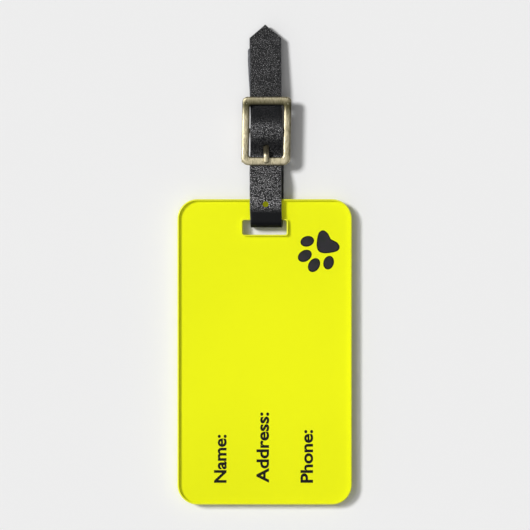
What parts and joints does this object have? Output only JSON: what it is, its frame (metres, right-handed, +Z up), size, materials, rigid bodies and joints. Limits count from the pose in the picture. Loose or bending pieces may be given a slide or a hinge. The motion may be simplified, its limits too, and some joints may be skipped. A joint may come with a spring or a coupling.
{
  "type": "luggage tag",
  "caption": "Printed clear-covered card with rounded corners and a slot, hung on a leather strap closed by a centre-bar buckle.",
  "frame": {"origin": "middle of the object's outline, on the surface that it lies on", "axes": "+Z up out of the printed face, +Y along the object towards the strap's tip, X across the card"},
  "size_m": [0.0508, 0.1396, 0.0076],
  "materials": {
    "clear_acrylic": "clear, polished",
    "yellow_print": "printed film, glossy under the cover",
    "print_ink": "black printed ink",
    "white_core": "opaque white film",
    "black_leather": "pebbled, satin",
    "leather_edge": "cut edge, dyed and burnished",
    "waxed_thread": "waxed thread",
    "antique_brass": "antique, lightly brushed",
    "bar_steel": "drawn wire"
  },
  "bodies": {
    "strap_top": {"strap_fold": "black_leather", "strap_front": "black_leather", "fold_stitches": "waxed_thread"},
    "strap_loop": {"strap_loop": "black_leather"},
    "card": {"front_cover": "clear_acrylic", "front_print": "yellow_print", "card_core": "white_core", "back_print": "yellow_print", "back_cover": "clear_acrylic"},
    "strap_tail": {"strap_tail": "black_leather"},
    "buckle": {"buckle_frame": "antique_brass", "centre_bar": "bar_steel"},
    "prong": {"buckle_prong": "antique_brass"}
  },
  "joints": [
    {"name": "strap_flex", "type": "hinge", "parent": "strap_top", "child": "strap_loop", "pos_m": [0.00045, 0.02405, 0.0028], "axis": [-1, 0, 0], "range_deg": [0, 70]},
    {"name": "card_swivel", "type": "hinge", "parent": "strap_loop", "child": "card", "pos_m": [0.00045, 0.0129, 0.0028], "axis": [0, 0, 1], "range_deg": [-8, 8]},
    {"name": "tail_flex", "type": "hinge", "parent": "strap_top", "child": "strap_tail", "pos_m": [0.00045, 0.05065, 0.0041], "axis": [1, 0, 0], "range_deg": [-4, 75], "stiffness_Nm_per_rad": 0.002},
    {"name": "buckle_tilt", "type": "hinge", "parent": "strap_top", "child": "buckle", "pos_m": [0.00045, 0.03895, 0.0041], "axis": [1, 0, 0], "range_deg": [-1.5, 1.5]},
    {"name": "prong_lift", "type": "hinge", "parent": "buckle", "child": "prong", "pos_m": [0.00045, 0.03895, 0.0041], "axis": [-1, 0, 0], "range_deg": [0, 10]}
  ]
}
